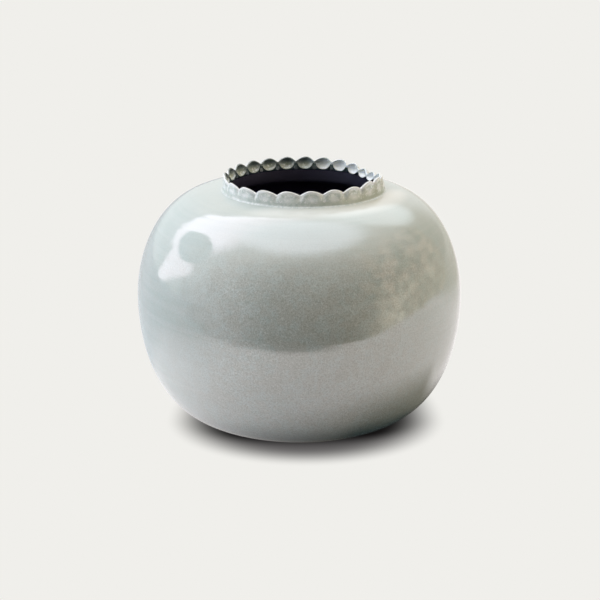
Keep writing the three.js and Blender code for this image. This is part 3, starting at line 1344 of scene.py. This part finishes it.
@dataclass
class Floor:
    """The pale floor: paper with the vase's painted shadow, to the eye and to gloss, and a soft bounce
    of light.
    """

    half: float = 30.0
    bounce_left: Colour = (0.73, 0.66, 0.63, 1)
    bounce_front: Colour = (0.22, 0.24, 0.24, 1)
    bounce_right: Colour = (0.22, 0.2, 0.14, 1)
    left_edge: Ramp = (-140 * MM, -20 * MM)
    right_edge: Ramp = (20 * MM, 140 * MM)
    shadow: Colour = linear(90, 88, 88)
    shadow_centre: Point = (4.3 * MM, -28.8 * MM)
    shadow_half_width: float = 92 * MM
    shadow_front: float = 72 * MM
    shadow_back: float = 135 * MM
    shadow_edge: Ramp = (0.52, 1.0)
    shadow_falloff: float = 2.08
    core: Colour = linear(20, 18, 18)
    core_oval: Oval = Oval((0, 0), (120 * MM, 75.5 * MM))
    core_edge: Ramp = (0.8, 1.0)
    mirror_paper: Colour = (1.16, 1.11, 1.11, 1)
    mirror_far_left: Colour = (0.522, 0.4995, 0.4995, 1)
    mirror_back_left: Colour = (0.76, 0.79, 0.82, 1)
    mirror_back_right: Colour = (0.72, 0.68, 0.6, 1)
    mirror_shadow: Colour = linear(98, 96, 90)
    mirror_oval: Oval = Oval((38 * MM, 0), (98 * MM, 98 * MM))
    mirror_edge: Ramp = (0.7, 1.4)
    mirror_core: Colour = linear(45, 52, 53)
    mirror_core_oval: Oval = Oval((58 * MM, -60 * MM), (45 * MM, 45 * MM))
    mirror_core_edge: Ramp = (0.4, 1.0)
    back_left_x: Ramp = (-60 * MM, -130 * MM)
    back_left_y: Ramp = (0, 60 * MM)
    far_left_x: Ramp = (-350 * MM, -100 * MM)
    back_right_x: Ramp = (150 * MM, 350 * MM)
    back_right_y: Ramp = (100 * MM, 400 * MM)
    beside_x: Ramp = (85 * MM, 130 * MM)
    beside_y: Ramp = (-45 * MM, -5 * MM)

    def build(self) -> Piece:
        """Lays the floor.

        Returns:
            The floor.
        """
        material, nodes = new_material("pale_floor")
        x, y, _ = nodes.split(nodes.place())
        tone = nodes.mix(x.ease(*self.left_edge), self.bounce_left, self.bounce_front)
        tone = nodes.mix(x.ease(*self.right_edge), tone, self.bounce_right)
        matt = nodes.put("ShaderNodeBsdfDiffuse", "BSDF", {"Color": tone})
        mirrored = self.mirrored_paper(nodes, x, y)
        paper = nodes.glow(nodes.mix(nodes.ray("Glossy"), self.seen_paper(nodes, x, y), mirrored))
        seen = nodes.ray("Camera").most(nodes.ray("Glossy")).most(nodes.ray("Transmission"))
        nodes.blend(seen, matt, paper)
        floor = sheet("floor", (-self.half, -self.half), (self.half, self.half), material)
        return floor

    def seen_paper(self, nodes: Nodes, x: Signal, y: Signal) -> Signal:
        """Paints the vase's soft shadow on the paper, which runs out towards the front.

        Args:
            nodes: The floor's nodes.
            x: The place along X.
            y: The place along Y.

        Returns:
            The paper's colour.
        """
        # Painted shadow: an oval that runs out to the front, with a darker painted core.
        wide = (x - self.shadow_centre[0]) / self.shadow_half_width
        deep = y - self.shadow_centre[1]
        deep = (deep / -self.shadow_front).most(deep / self.shadow_back)
        lit = nodes.length(wide, deep).ease(*self.shadow_edge).math("POWER", self.shadow_falloff)
        out = self.core_oval.away(nodes, x, y).ease(*self.core_edge)
        return nodes.mix(lit, nodes.mix(out, self.core, self.shadow), PAPER)

    def mirrored_paper(self, nodes: Nodes, x: Signal, y: Signal) -> Signal:
        """Colours the paper that the glaze mirrors, with a painted shadow under the vase and to its
        right.

        Args:
            nodes: The floor's nodes.
            x: The place along X.
            y: The place along Y.

        Returns:
            The paper's colour.
        """
        back_left = x.ease(*self.back_left_x) * y.ease(*self.back_left_y)
        paper = nodes.mix(back_left, self.mirror_paper, self.mirror_back_left)
        paper = nodes.mix(x.ease(*self.far_left_x), self.mirror_far_left, paper)
        back_right = x.ease(*self.back_right_x) * y.ease(*self.back_right_y)
        paper = nodes.mix(back_right, paper, self.mirror_back_right)
        beside = x.ease(*self.beside_x) * y.ease(*self.beside_y)
        # Painted shadow as the glaze mirrors it: dark under the vase and to its right.
        lit = self.mirror_oval.away(nodes, x, y).ease(*self.mirror_edge).most(beside)
        out = self.mirror_core_oval.away(nodes, x, y).ease(*self.mirror_core_edge)
        return nodes.mix(lit, nodes.mix(out, self.mirror_core, self.mirror_shadow), paper)


@dataclass(frozen=True)
class Glow:
    """A patch of light in the room.

    Attributes:
        way: The direction to its middle.
        ramp: The cosines where it starts and where it is full.
        light: Its colour.
    """

    way: Point3
    ramp: Ramp
    light: Colour

    def over(self, nodes: Nodes, toward: Signal, around: Signal | Colour) -> Signal:
        """Lays the patch over the light around it."""
        side = nodes.vectors("DOT_PRODUCT", "Value", toward, Vector(self.way).normalized())
        return nodes.mix(side.ease(*self.ramp), around, self.light)


@dataclass
class Room:
    """The light from above, behind and the left, and the walls that the glaze mirrors."""

    sky_left: Colour = (1.6, 1.71, 1.96, 1)
    sky_right: Colour = (0.8, 0.74, 0.68, 1)
    front: Colour = (0.02, 0.02, 0.018, 1)
    left_glow: Glow = Glow((-0.9, 0.1, 0.35), (0.65, 0.97), (1.95, 2.35, 2.8, 1))
    right_glow: Glow = Glow((0.97, 0.05, 0.12), (0.84, 0.98), (2.15, 2.02, 1.82, 1))
    above: Colour = (1.42, 1.3, 1.12, 1)
    wall_right: Colour = (0.45, 0.42, 0.35, 1)
    wall_glow: Glow = Glow((0.37, 0.63, 0.68), (0.93, 0.985), (1.55, 1.65, 1.7, 1))
    ceiling: Colour = (1.8, 1.9, 2.05, 1)
    right_from: Ramp = (-0.2, 0.5)
    front_from: Ramp = (0.15, -0.35)
    above_from: Ramp = (0.6, 0.95)
    ceiling_from: Ramp = (0.8, 0.93)
    wall_right_x: Ramp = (0.3, 0.6)
    wall_right_y: Ramp = (0.2, 0.5)
    wall_right_z: Ramp = (0.68, 0.5)

    def build(self) -> None:
        """Makes the world: the light for matt surfaces, the walls for gloss, paper for the eye."""
        world = bpy.data.worlds.new("room")
        bpy.context.scene.world = world
        nodes = Nodes(world)
        toward = nodes.put("ShaderNodeTexCoord", "Generated")
        x, y, z = nodes.split(toward)
        light = nodes.mix(x.ease(*self.right_from), self.sky_left, self.sky_right)
        light = nodes.mix(y.ease(*self.front_from), light, self.front)
        for glow in (self.left_glow, self.right_glow):
            light = glow.over(nodes, toward, light)
        light = nodes.mix(z.ease(*self.above_from), light, self.above)
        far_right = x.ease(*self.wall_right_x) * y.ease(*self.wall_right_y)
        far_right = far_right * z.ease(*self.wall_right_z)
        wall = self.wall_glow.over(nodes, toward, nodes.mix(far_right, PAPER, self.wall_right))
        mirrored = nodes.mix(z.ease(*self.ceiling_from), wall, self.ceiling)
        colour = nodes.mix(nodes.ray("Glossy"), light, mirrored)
        straight = nodes.ray("Camera").most(nodes.ray("Transmission"))
        colour = nodes.mix(straight, colour, PAPER)
        background = nodes.put("ShaderNodeBackground", "Background", {"Color": colour})
        nodes.end(background, "ShaderNodeOutputWorld")


@dataclass
class DarkCard:
    """A dark card round the front, with a ragged warm patch at the right, that fades upwards.

    Attributes:
        posts: Its corners along the floor and its height there, as (x, y, top).
    """

    left: Colour = (0.37, 0.34, 0.33, 1)
    middle: Colour = (0.02, 0.03, 0.03, 1)
    olive: Colour = (0.2, 0.2, 0.13, 1)
    tan: Colour = (0.62, 0.46, 0.33, 1)
    foot: Colour = (0.95, 0.87, 0.7, 1)
    foot_right: Colour = (0.62, 0.54, 0.42, 1)
    middle_from: Ramp = (-0.25, -0.05)
    warm_from: Ramp = (0.1, 0.5)
    foot_right_from: Ramp = (0.55, 0.85)
    foot_rise: Ramp = (0.06, 0.28)
    fade: Ramp = (0.1, 1.0)
    patch_stretch: Point3 = (1, 1, 2.2)
    wood: Pattern = Pattern(4.5, 5, 0.65, (0.44, 0.56))
    rag: Pattern = Pattern(9, 6, 0.72, (0.34, 0.66, 0.35, 1.75))
    posts: tuple[Point3, ...] = (
        (-0.7, -0.05, 0.272),
        (-0.5, -0.17, 0.304),
        (-0.235, -0.22, 0.4),
        (-0.12, -0.28, 0.512),
        (0.0, -0.297, 0.608),
        (0.17, -0.296, 0.656),
        (0.29, -0.282, 0.752),
        (0.52, -0.239, 1.04),
        (0.74, -0.136, 1.36),
        (0.97, 0.10, 1.76),
        (0.9, 0.6, 1.6),
    )

    def build(self) -> Piece:
        """Stands the card, and marks its top edge for the fade.

        Returns:
            The card.
        """
        points = [(x, y, z) for x, y, top in self.posts for z in (0.0, top)]
        faces = [(i, i + 1, i + 3, i + 2) for i in range(0, len(points) - 2, 2)]
        card = stage_mesh("dark_card", points, faces, self.material())
        for i, mark in enumerate(card.data.attributes.new("fade", "FLOAT", "POINT").data):
            mark.value = i % 2
        mirror_only(card)
        return card

    def material(self) -> Material:
        """Makes the card's own dim light.

        Returns:
            The material.
        """
        material, nodes = new_material("dark_card")
        rise = nodes.point_value("fade")
        x = nodes.split(nodes.place())[0]
        way = nodes.vectors("NORMALIZE", "Vector", nodes.place())
        toward = nodes.stretch(way, self.patch_stretch)
        tint = nodes.mix(x.ease(*self.middle_from), self.left, self.middle)
        wood = nodes.mix(nodes.pattern(toward, self.wood), self.olive, self.tan)
        foot = nodes.mix(x.ease(*self.foot_right_from), self.foot, self.foot_right)
        warm = nodes.mix(rise.ease(*self.foot_rise), foot, wood)
        tint = nodes.mix(x.ease(*self.warm_from), tint, warm)
        light = nodes.glow(tint, nodes.pattern(toward, self.rag))
        nodes.blend(rise.ease(*self.fade), light, nodes.clear())
        return material


@dataclass
class Softbox:
    """A softbox to the left and behind, torn at its edges, with a round baffle before it."""

    low: Point = (-1.7, -1.15)
    high: Point = (1.3, 1.7)
    turn: float = math.radians(-125)
    rise: float = math.radians(35)
    reach: float = 1.6
    lift: float = 0.1
    wobble_scale: float = 4
    wobble_across: float = 0.7
    wobble_along: float = -0.6
    slant: float = -0.8
    slant_from: float = -0.05
    right_bulge: Ramp = (-0.1, -0.62, 0, 0.52)
    left_bulge: Ramp = (-0.25, -0.45, 0, 0.3)
    foot_slant: float = 0.8
    right_edge: Ramp = (0.25, 0.11)
    foot_edge: Ramp = (-1.66, -1.52)
    top_edge: Ramp = (1.45, 0.5)
    left_edge: Ramp = (-1.4, -0.75)
    light_low: Colour = (2.5, 2.35, 2.6, 1)
    light_high: Colour = (2.2, 2.0, 2.1, 1)
    baffle: Colour = (0.7, 0.8, 0.8, 1)
    baffle_centre: Point3 = (-0.73, -0.015, 0)
    baffle_turn: float = math.radians(-12.4)
    baffle_half: Point3 = (0.57, 0.395, 1)
    baffle_wobble: float = 0.3
    baffle_edge: Ramp = (1.04, 0.94)
    light_turn: Ramp = (-0.3, 0.1)

    def build(self) -> Piece:
        """Hangs the softbox so that it faces the vase.

        Returns:
            The softbox.
        """
        level = Vector((math.sin(self.turn), -math.cos(self.turn), 0)) * math.cos(self.rise)
        toward = level + Vector((0, 0, math.sin(self.rise)))
        box = sheet("softbox", self.low, self.high, self.material())
        box.location = toward * self.reach + Vector((0, 0, self.lift))
        box.rotation_mode = "QUATERNION"
        box.rotation_quaternion = (-toward).to_track_quat("Z", "Y")
        mirror_only(box)
        return box

    def material(self) -> Material:
        """Makes the light, clear outside its torn outline.

        Returns:
            The material.
        """
        material, nodes = new_material("softbox")
        where = nodes.place()
        wobble = nodes.grain(where, self.wobble_scale, 7, 0.78) - 0.5
        x, y, _ = nodes.split(where)
        x = wobble.math("MULTIPLY_ADD", self.wobble_across, x)
        y = wobble.math("MULTIPLY_ADD", self.wobble_along, y)
        right = x + (y - self.slant_from).most(0.0) * self.slant + y.ease(*self.right_bulge)
        foot = x.math("MULTIPLY_ADD", self.foot_slant, y)
        left = x + y.ease(*self.left_bulge)
        bright = right.ease(*self.right_edge) * foot.ease(*self.foot_edge)
        bright = bright * y.ease(*self.top_edge) * left.ease(*self.left_edge)
        inputs = {
            "Vector": where,
            "Location": self.baffle_centre,
            "Rotation": (0, 0, self.baffle_turn),
            "Scale": self.baffle_half,
        }
        baffle = nodes.put("ShaderNodeMapping", "Vector", inputs, vector_type="TEXTURE")
        smooth_away = nodes.vectors("LENGTH", "Value", baffle)
        away = wobble.math("MULTIPLY_ADD", self.baffle_wobble, smooth_away)
        covered = away.ease(*self.baffle_edge)
        window = nodes.mix(y.ease(*self.light_turn), self.light_high, self.light_low)
        light = nodes.glow(nodes.mix(covered, window, self.baffle))
        nodes.blend(bright.most(covered), nodes.clear(), light)
        return material


@dataclass
class Viewpoint:
    """The camera, a little above the shoulder and looking down at the belly."""

    distance: float = 787.5 * MM
    elevation: float = math.radians(18.56)
    aim: Point3 = (0.46 * MM, 0.0, 71.34 * MM)
    lens: float = 71.93
    sensor: float = 36.0
    nearest: float = 0.01
    farthest: float = 200.0

    def build(self) -> Piece:
        """Sets the camera.

        Returns:
            The camera.
        """
        data = bpy.data.cameras.new("camera")
        data.sensor_width = self.sensor
        data.lens = self.lens
        data.clip_start = self.nearest
        data.clip_end = self.farthest
        camera = in_scene("camera", data)
        back = Vector((0, -math.cos(self.elevation), math.sin(self.elevation)))
        camera.location = Vector(self.aim) + back * self.distance
        camera.rotation_mode = "QUATERNION"
        camera.rotation_quaternion = (-back).to_track_quat("-Z", "Y")
        bpy.context.scene.camera = camera
        return camera


def main() -> None:
    """Builds the vase, its finishes and the studio."""
    logging.basicConfig(level=logging.INFO, format="%(message)s")
    sizes = Measures()
    ClayBody(sizes, BareClay().material()).build()
    GlazeCoats(sizes, CeladonGlaze().material(), LinerGlaze().material()).build()
    PinchedRim(sizes, RimGlaze().material()).build()
    bpy.context.scene.view_settings.view_transform = "Standard"
    for part in (Floor(), Room(), DarkCard(), Softbox(), Viewpoint()):
        part.build()


if __name__ == "__main__":
    main()
